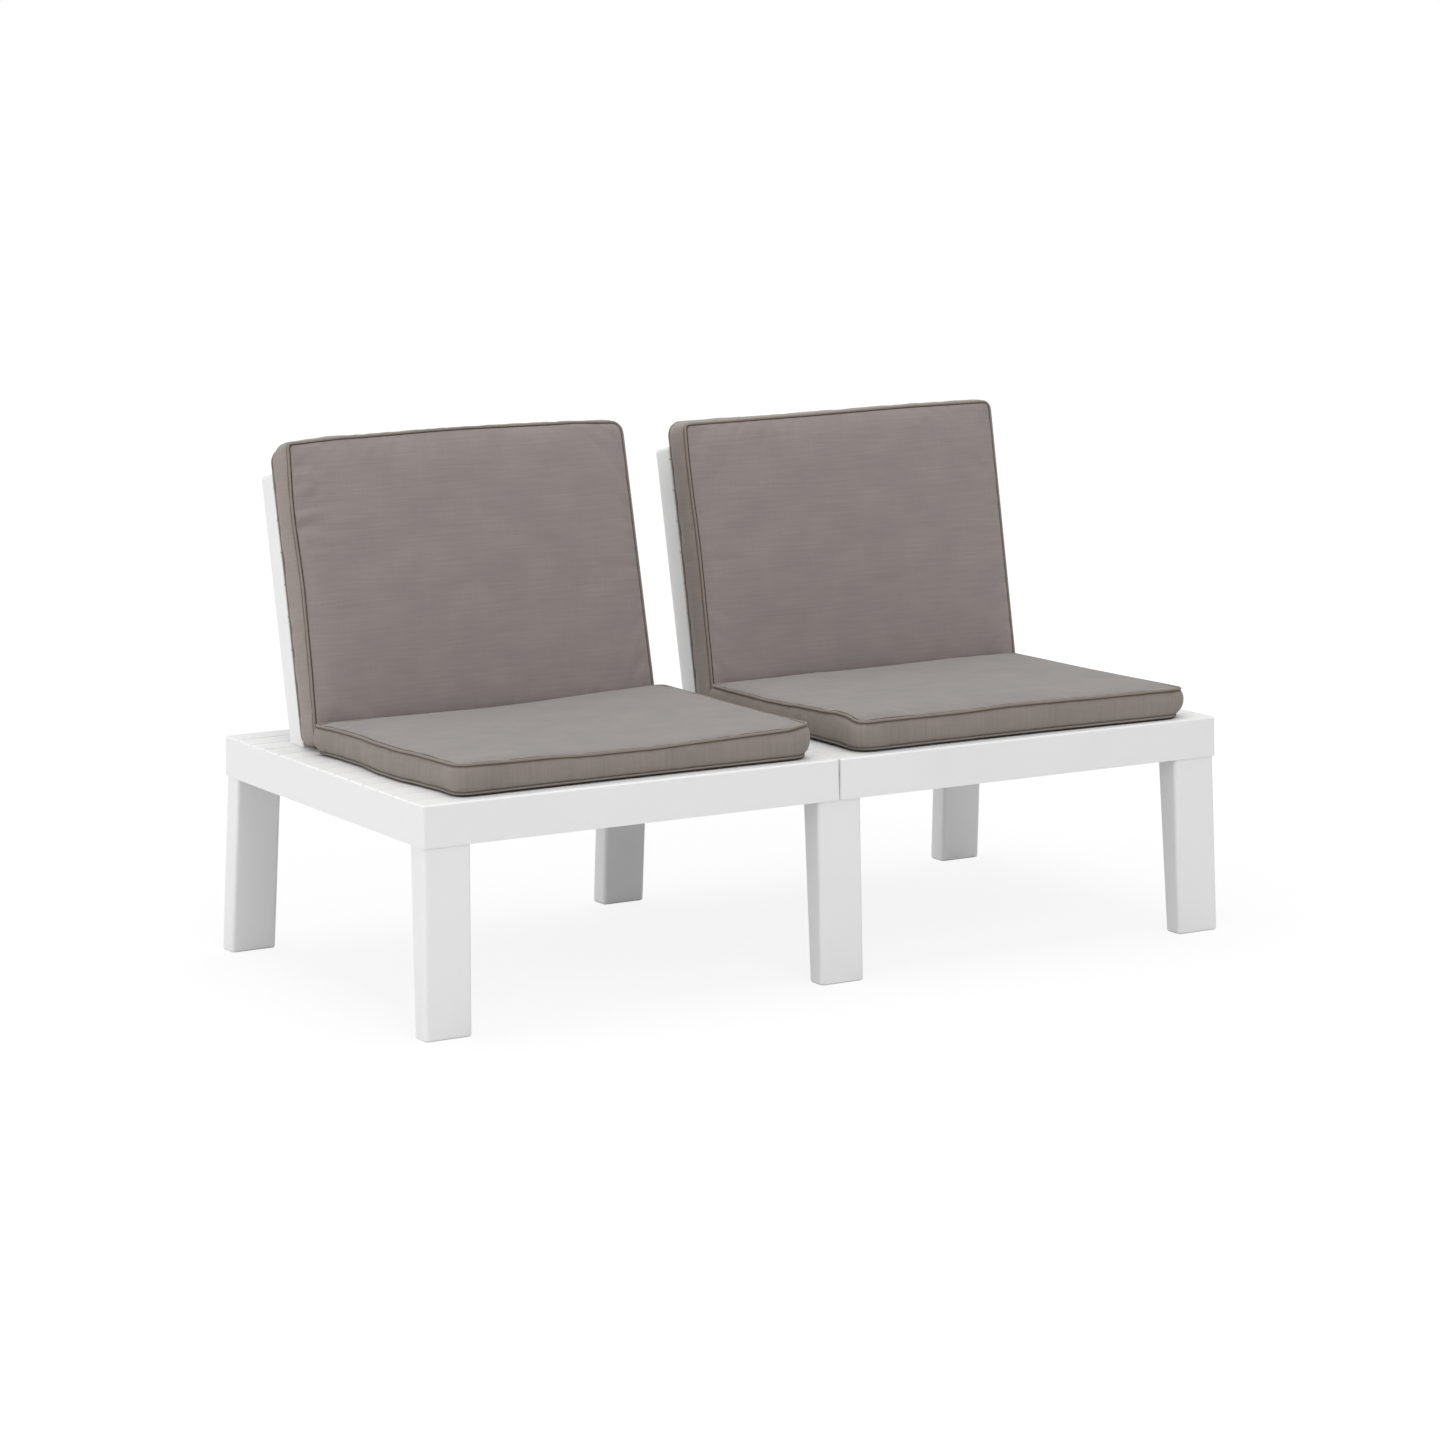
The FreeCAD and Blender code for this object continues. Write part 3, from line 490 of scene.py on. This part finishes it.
def stuff_cover(name, seams, thickness, rest, crown, bulge, corner, low_line, gathers, seed):
    """Fills the cover: the seams hold, pressure swells panels and band, slack gathers along the seams.

    Rest is how far the lower seam lies above what carries the cushion. Crown, bulge and corner are the
    most that upper panel, band and the band's corners swell. Gathers are (share of the upper seam,
    length, height).
    """
    clearance, lay_down = 0.0002, 0.006  # the lower panel's foot and the strip in which it goes down
    lap = 0.6  # share of a square by which its outermost points reach out under the lower cord
    shoulder = 0.035  # over this width a panel rises from its seam
    head_start = 0.7  # share of the swelling that is given before the simulation
    lower_give = 0.0015
    ripple_width, ripple_reach = 0.011, 0.032
    unevenness, edge_puff, puff_width = 0.0016, 0.0016, 0.004
    pucker, corner_reach = 0.0007, 0.028
    verts, faces, cloth, seam, ways, nz, counts = sew_cover(*seams, thickness, low_line)
    around = 2 * sum(counts)
    panels = (nz + 1) * around
    inner = (len(verts) - panels) // 2
    lower, upper, side = np.zeros((3, len(verts)), bool)
    lower[panels:panels + inner] = True
    upper[panels + inner:] = True
    side[2 * around:panels] = True
    rings = verts[:2 * around].reshape(2, around, 3)
    edge = np.zeros(len(verts))
    nearest = np.zeros(len(verts), int)
    for level, part in ((0, lower), (1, upper)):
        gap = np.linalg.norm(verts[part, None, :2] - rings[level][None, :, :2], axis=2)
        edge[part] = gap.min(axis=1)
        nearest[part] = gap.argmin(axis=1)
    down = 1 - (1 - np.minimum(edge[lower] / lay_down, 1)) ** 2
    verts[lower, 2] += (clearance - rest - verts[lower, 2]) * down
    outermost = np.flatnonzero(lower & (edge < 1.3 * cell))
    verts[outermost] += ways[nearest[outermost]] * lap * cell
    length, width = np.ptp(verts[:, 0]), np.ptp(verts[:, 1])
    middle = (1 - (2 * verts[:, 0] / length) ** 2).clip(0) * (1 - (2 * verts[:, 1] / width) ** 2).clip(0)
    swell = 0.6 * (1 - (1 - np.minimum(edge / shoulder, 1)) ** 2) + 0.4 * middle
    start = verts.copy()
    start[upper, 2] += crown * head_start * swell[upper]
    for row in range(1, nz):
        ring = slice((row + 1) * around, (row + 2) * around)
        start[ring] += ways * bulge * head_start * math.sin(math.pi * row / nz) ** 0.35
    mesh = bpy.data.meshes.new(name)
    mesh.from_pydata([tuple(p) for p in start], [], faces)
    for layer, values in (("cloth", cloth), ("seam", seam)):
        mesh.uv_layers.new(name=layer).data.foreach_set("uv", np.array(values).ravel())
    crease = mesh.attributes.new("crease_edge", "FLOAT", "EDGE")
    ends = np.zeros(len(mesh.edges) * 2, int)
    mesh.edges.foreach_get("vertices", ends)
    on_seam = (ends.reshape(-1, 2) < 2 * around).all(axis=1)
    crease.data.foreach_set("value", on_seam.astype(float))
    cover = bpy.data.objects.new(name, mesh)
    scene.collection.objects.link(cover)
    moved = start
    pins = cover.vertex_groups.new(name="seams")
    pins.add([int(i) for i in np.flatnonzero(~(upper | side))], 1.0, "REPLACE")
    filling = cover.modifiers.new("filling", "CLOTH")
    settings = filling.settings
    settings.quality = 5
    settings.mass = 0.25
    settings.tension_stiffness = settings.compression_stiffness = 25
    settings.shear_stiffness = 12
    settings.bending_stiffness = 0.15
    settings.vertex_group_mass = "seams"
    settings.use_pressure = True
    settings.uniform_pressure_force = 4
    settings.shrink_min = -0.012
    settings.effector_weights.gravity = 0
    filling.point_cache.frame_start, filling.point_cache.frame_end = 1, 20
    for step in range(1, 21):
        scene.frame_set(step)
    settled = cover.evaluated_get(bpy.context.evaluated_depsgraph_get()).to_mesh()
    flat = np.zeros(len(verts) * 3)
    settled.vertices.foreach_get("co", flat)
    moved = flat.reshape(-1, 3)
    cover.modifiers.remove(filling)
    cover.vertex_groups.clear()
    scene.frame_set(1)
    travel = moved - verts
    cap = np.where(upper, crown, np.where(side, bulge, lower_give))[:, None]
    size = np.linalg.norm(travel, axis=1, keepdims=True).clip(1e-9)
    final = verts + travel * cap * np.tanh(size / cap) / size
    reach = np.cumsum(np.linalg.norm(np.diff(rings[1], axis=0, append=rings[1][:1]), axis=1))
    for share, spread, height in gathers:
        along = (reach[nearest] / reach[-1] - share + 0.5) % 1 - 0.5
        strength = np.exp(-(along * reach[-1] / spread) ** 2) * np.exp(-edge / ripple_reach) * (edge > 0)
        ripple = [noise.noise(Vector((a * reach[-1] / ripple_width, e / 0.05, seed)))
                  for a, e in zip(along, edge)]
        final[upper, 2] += (height * strength * np.array(ripple))[upper]
    soft = [noise.noise(Vector((x / 0.09, y / 0.07, seed)))
            + 0.4 * noise.noise(Vector((x / 0.04, y / 0.022, seed))) for x, y, z in verts]
    puff = edge_puff * (1 - np.exp(-edge / puff_width))
    final[upper, 2] += (unevenness * swell * np.array(soft) + puff)[upper]
    ends = reach[[0, counts[0], counts[0] + counts[1], 2 * counts[0] + counts[1]]]
    apart = np.abs(reach[:, None] - ends)
    apart = np.minimum(apart, reach[-1] - apart).min(axis=1)
    full = corner * np.exp(-(apart / corner_reach) ** 2)
    puckers = [noise.noise(Vector((r / 0.013, seed, 0))) + 1.6 * noise.noise(Vector((r / 0.07, seed, 5)))
               for r in reach]
    for row in range(1, nz):
        ring = slice((row + 1) * around, (row + 2) * around)
        out = (full + pucker * np.array(puckers))[:, None]
        final[ring] += ways * out * math.sin(math.pi * row / nz) ** 0.7
    mesh.vertices.foreach_set("co", final.ravel())
    mesh.update()
    return cover, final, ways, around


# The piping: a filler cord in a strip of the same cloth, cut on the slant, swept along each seam. The
# side of a lower cord that faces down or to the rear is painted near black, as painted contact shadow.
piping_tree = bpy.data.node_groups.new("piping_cord", "GeometryNodeTree")
piping_tree.interface.new_socket("Seam", in_out="INPUT", socket_type="NodeSocketGeometry")
radius_socket = piping_tree.interface.new_socket("Radius", in_out="INPUT", socket_type="NodeSocketFloat")
spacing_socket = piping_tree.interface.new_socket("Spacing", in_out="INPUT", socket_type="NodeSocketFloat")
cloth_socket = piping_tree.interface.new_socket("Cloth", in_out="INPUT", socket_type="NodeSocketMaterial")
piping_tree.interface.new_socket("Cord", in_out="OUTPUT", socket_type="NodeSocketGeometry")
nodes, links = piping_tree.nodes, piping_tree.links
entry = nodes.new("NodeGroupInput")
leave = nodes.new("NodeGroupOutput")
curve = nodes.new("GeometryNodeMeshToCurve")
spread = nodes.new("GeometryNodeResampleCurve")
spread.mode = "LENGTH"
reach = nodes.new("GeometryNodeSplineParameter")
along = nodes.new("GeometryNodeStoreNamedAttribute")
along.data_type = "FLOAT"
along.domain = "POINT"
along.inputs["Name"].default_value = "along"
profile = nodes.new("GeometryNodeCurvePrimitiveCircle")
profile.inputs["Resolution"].default_value = cord_points
turn_share = nodes.new("GeometryNodeSplineParameter")
round_it = nodes.new("GeometryNodeStoreNamedAttribute")
round_it.data_type = "FLOAT"
round_it.domain = "POINT"
round_it.inputs["Name"].default_value = "round"
swept = nodes.new("GeometryNodeCurveToMesh")
smooth = nodes.new("GeometryNodeSetShadeSmooth")
realize = nodes.new("GeometryNodeRealizeInstances")
dress = nodes.new("GeometryNodeSetMaterial")
links.new(entry.outputs["Seam"], curve.inputs["Mesh"])
links.new(curve.outputs["Curve"], spread.inputs["Curve"])
links.new(entry.outputs["Spacing"], spread.inputs["Length"])
links.new(spread.outputs["Curve"], along.inputs["Geometry"])
links.new(reach.outputs["Length"], along.inputs["Value"])
links.new(entry.outputs["Radius"], profile.inputs["Radius"])
links.new(profile.outputs["Curve"], round_it.inputs["Geometry"])
links.new(turn_share.outputs["Factor"], round_it.inputs["Value"])
links.new(along.outputs["Geometry"], swept.inputs["Curve"])
links.new(round_it.outputs["Geometry"], swept.inputs["Profile Curve"])
links.new(swept.outputs["Mesh"], smooth.inputs["Geometry"])
links.new(smooth.outputs["Geometry"], realize.inputs["Geometry"])
links.new(realize.outputs["Geometry"], dress.inputs["Geometry"])
links.new(entry.outputs["Cloth"], dress.inputs["Material"])
links.new(dress.outputs["Geometry"], leave.inputs["Cord"])

piping_cloth = bpy.data.materials.new("piping_cloth")
piping_cloth.use_nodes = True
nodes, links = piping_cloth.node_tree.nodes, piping_cloth.node_tree.links
shader = nodes["Principled BSDF"]
shader.inputs["Roughness"].default_value = 0.88
shader.inputs["Specular IOR Level"].default_value = 0.2
shader.inputs["Sheen Weight"].default_value = 0.12
run = nodes.new("ShaderNodeAttribute")
run.attribute_name = "along"
lap = nodes.new("ShaderNodeAttribute")
lap.attribute_name = "round"
slant = nodes.new("ShaderNodeMath")
slant.operation = "MULTIPLY_ADD"
slant.inputs[1].default_value = 7000  # radians for each metre along the cord
count = nodes.new("ShaderNodeMath")
count.operation = "MULTIPLY"
count.inputs[1].default_value = 25.13  # four turns round the cord, in radians
ridge = nodes.new("ShaderNodeMath")
ridge.operation = "SINE"
tone = nodes.new("ShaderNodeMapRange")
tone.inputs["From Min"].default_value = -1
colour = nodes.new("ShaderNodeMix")
colour.data_type = "RGBA"
colour.inputs["A"].default_value = (0.245, 0.207, 0.178, 1)
colour.inputs["B"].default_value = (0.300, 0.258, 0.226, 1)
bump = nodes.new("ShaderNodeBump")
bump.inputs["Strength"].default_value = 0.5
bump.inputs["Distance"].default_value = 0.0002
links.new(run.outputs["Fac"], slant.inputs[0])
links.new(lap.outputs["Fac"], count.inputs[0])
links.new(count.outputs[0], slant.inputs[2])
links.new(slant.outputs[0], ridge.inputs[0])
links.new(ridge.outputs[0], tone.inputs["Value"])
links.new(tone.outputs[0], colour.inputs["Factor"])
# Painted shade: the side of a lower cord that faces down goes near black, as the shadow where the cushion
# meets what carries it.
under = nodes.new("ShaderNodeAttribute")
under.attribute_name = "under"
painted_contact_shade = nodes.new("ShaderNodeMix")
painted_contact_shade.data_type = "RGBA"
painted_contact_shade.inputs["B"].default_value = (0.012, 0.010, 0.009, 1)
links.new(under.outputs["Fac"], painted_contact_shade.inputs["Factor"])
links.new(colour.outputs["Result"], painted_contact_shade.inputs["A"])
links.new(painted_contact_shade.outputs["Result"], shader.inputs["Base Color"])
links.new(ridge.outputs[0], bump.inputs["Height"])
links.new(bump.outputs["Normal"], shader.inputs["Normal"])

# The band tints: a warmer hue on both cloths, with the seats' bands painted darker and the backs' bands
# painted lighter. The last numbers set how far the painted seam shade reaches.
seat_cloth = outdoor_cloth("seat_cloth", (0.240, 0.221, 0.208), (0.270, 0.248, 0.234),
                           band_hue_and_painted_light=(0.98, 0.93, 0.88), seam_shade_width=0.0045, band_shade_reach=0)
back_cloth = outdoor_cloth("back_cloth", (0.263, 0.226, 0.219), (0.297, 0.257, 0.247),
                           band_hue_and_painted_light=(1.03, 1.02, 0.97), seam_shade_width=0.0026, band_shade_reach=0.0020)


def make_cushion(body, material, place, **filling):
    """Sews and fills one cushion, lays a cord in each seam and hands the pieces to its CAD body."""
    cord_spacing = 0.004
    cover, final, ways, around = stuff_cover(body + "_sewn_cover", **filling)
    cover.data.materials.append(material)
    soften = cover.modifiers.new("soften", "SUBSURF")
    soften.levels = soften.render_levels = 1
    soften.uv_smooth = "NONE"
    cover.data.shade_smooth()
    baked = bpy.data.meshes.new_from_object(cover.evaluated_get(bpy.context.evaluated_depsgraph_get()))
    cover.modifiers.remove(soften)
    cover.data = baked
    cover.data.transform(place)
    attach(cover, body)
    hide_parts(body + "_cover", body + "_foam")
    for row, level in enumerate(("lower", "upper")):
        line = final[row * around:(row + 1) * around] + ways * seam_depth
        path = bpy.data.meshes.new("seam_path")
        path.from_pydata([tuple(p) for p in line], [(k, (k + 1) % around) for k in range(around)], [])
        cord = bpy.data.objects.new("%s_cord_%s" % (body, level), path)
        scene.collection.objects.link(cord)
        sweep = cord.modifiers.new("sweep", "NODES")
        sweep.node_group = piping_tree
        sweep[radius_socket.identifier] = cord_radius
        sweep[spacing_socket.identifier] = cord_spacing
        sweep[cloth_socket.identifier] = piping_cloth
        baked = bpy.data.meshes.new_from_object(cord.evaluated_get(bpy.context.evaluated_depsgraph_get()))
        cord.modifiers.remove(sweep)
        cord.data = baked
        # The 'under' attribute holds how strongly shade is painted on each point of a lower cord, by how
        # far it faces down.
        spots = np.zeros(len(baked.vertices) * 3)
        baked.vertices.foreach_get("co", spots)
        heights = spots.reshape(-1, cord_points, 3)[:, :, 2]
        facing_down = (heights.mean(axis=1, keepdims=True) - heights) / cord_radius
        painted_underside_shade = (facing_down * 1.6 + 0.1).clip(0, 1) * (level == "lower")
        baked.attributes.new("under", "FLOAT", "POINT").data.foreach_set("value", painted_underside_shade.ravel())
        cord.data.transform(place)
        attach(cord, body)
        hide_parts("%s_piping_%s" % (body, level))


def millimetres(corners, *wander):
    """A seam's corners and its sides' wander, given in millimetres, as metres."""
    return ([tuple(size / 1000 for size in corner) for corner in corners],
            [[(share, out / 1000, up / 1000) for share, out, up in side] for side in wander])


# A cushion's lower and upper seam: the corners (x, y, z, radius) anticlockwise from the front left,
# and for each side after its first corner the steps (share of the side, out, up) of its wander.
left_seat = (
    millimetres([(-243.7, -188.3, 0, 18), (258, -190, 0, 28),
                 (251.3, 188, 0, 8), (-259, 182, 0, 6)],
                [(0.5, -2, 0)], [(0.5, -3, 0)], [(0.5, -3, 0)],
                [(0.13, -2.7, 0), (0.29, -2.2, 0), (0.5, 6, 0),
                 (0.63, 7, 0), (0.75, 1.9, 0), (0.87, -1.2, 0)]),
    millimetres([(-242.7, -187.3, 1.5, 17), (255.2, -187.3, 6.5, 9),
                 (252.3, 188, 6, 8), (-262.5, 183.5, 0, 6)],
                [(0.2, -1, -2.5), (0.4, -1, -6), (0.55, -1, -7),
                 (0.7, -1, -6), (0.83, -1, -5.2), (0.93, 0, -4.4)],
                [(0.3, -2, -1)], [(0.5, -3, -4)],
                [(0.14, -5, 0), (0.29, -4.4, 0), (0.47, 2, 0),
                 (0.62, 4.2, 0), (0.74, 0, 0), (0.87, -2.6, -1)]))
right_seat = (
    millimetres([(-248.3, -190.3, 0, 25), (259, -197.5, 0, 28),
                 (241, 188, 0, 8), (-250.3, 186.3, 0, 8)],
                [(0.25, -2.5, 0), (0.55, -4, 0), (0.75, -2, 0), (0.9, 0, 0)],
                [(0.5, -3, 0)], [(0.5, -3, 0)],
                [(0.4, -2, 1.0), (0.85, -1, 1.2)]),
    millimetres([(-249.3, -190.3, 1.5, 20), (261.5, -190.5, 0.5, 9),
                 (241, 188, 1, 8), (-251, 186, -0.5, 8)],
                [(0.08, 0, 0.4), (0.29, -1, 0), (0.46, -1, 2.1), (0.61, -1, 1.3), (0.76, -1, 0.2)],
                [(0.5, -3, 0)], [(0.5, -3, 0)],
                [(0.21, -1, -0.6), (0.37, -2, -1.4), (0.5, -2, -0.4), (0.62, -1, 2.2), (0.75, 0, 3.7),
                 (0.88, 0, 6.2), (0.94, 0, 5.4)]))
deck_top = 0.291
seat_middle_y = -0.0937
seat_rest = 0.0036
for hand, middle_x, seams, seed in (("left", -0.2873, left_seat, 3), ("right", 0.2893, right_seat, 7)):
    place = Matrix.Translation((middle_x, seat_middle_y, deck_top + seat_rest))
    make_cushion("seat_cushion_" + hand, seat_cloth, place, seams=seams, thickness=0.0348, rest=seat_rest,
                 crown=0.0045, bulge=0.0065, corner=0.0032, low_line=0.6, gathers=[(0.3, 0.06, 0.001)],
                 seed=seed)

# The back cushions: thicker than the seats, stood on the deck behind them and leaning on the
# backrests. They are made lying down, rear panel below, and then stood up.
left_back = (
    millimetres([(-248.5, -196.5, 0, 12), (247, -196.5, 0, 12),
                 (247, 189, 0, 15), (-248, 189, 0, 17)],
                [(0.5, -2, 0)], [(0.5, -2, 0)], [(0.5, -1, 0)], [(0.5, -1, 0)]),
    millimetres([(-250.5, -196.5, 0, 6), (250.5, -196.5, 0, 12),
                 (246, 192.8, 0, 16), (-244.5, 191.8, 0, 4)],
                [(0.5, -2, 0)], [(0.5, 0, 0)], [(0.17, 3.2, 0), (0.5, 5.2, 0), (0.83, 3, 0)],
                [(0.2, 2.4, 0), (0.52, -2, 0), (0.7, -1.7, 0)]))
right_back = (
    millimetres([(-248.5, -196.5, 0, 12), (246, -196.5, 0, 12),
                 (251, 192, 0, 13), (-246.5, 190.5, 0, 18)],
                [(0.5, -2, 0)], [(0.5, -2, 0)], [(0.5, 0, 0)], [(0.5, -1, 0)]),
    millimetres([(-250, -196.5, 0, 6), (243.5, -196.5, 0, 12),
                 (249.2, 188, 0, 11), (-247.3, 182.8, 0, 5)],
                [(0.5, -2, 0)], [(0.5, 0, 0)], [(0.3, 1.2, 0), (0.65, 0, 0)],
                [(0.12, 0.9, 0), (0.5, -2.1, 0), (0.8, -1.3, 0)]))
lean = math.radians(11.7)
back_height = 0.393
cushion_gap, half_piping = 0.0003, 0.0023  # as in the CAD
rear_foot_y = 0.14755  # where the plane of the rear seams meets the deck
rise = cushion_gap + half_piping * (math.cos(lean) + math.sin(lean)) + back_height / 2 * math.cos(lean)
for hand, middle_x, seams, gathers, seed in (
        ("left", -0.2918, left_back, [(0.835, 0.07, 0.010)], 13), ("right", 0.2988, right_back, [], 17)):
    place = (Matrix.Translation((middle_x, rear_foot_y + rise * math.tan(lean), deck_top + rise))
             @ Matrix.Rotation(math.pi / 2 - lean, 4, "X"))
    make_cushion("back_cushion_" + hand, back_cloth, place, seams=seams, thickness=0.047, rest=0.0020,
                 crown=0.008, bulge=0.009, corner=0, low_line=0.05, gathers=gathers, seed=seed)
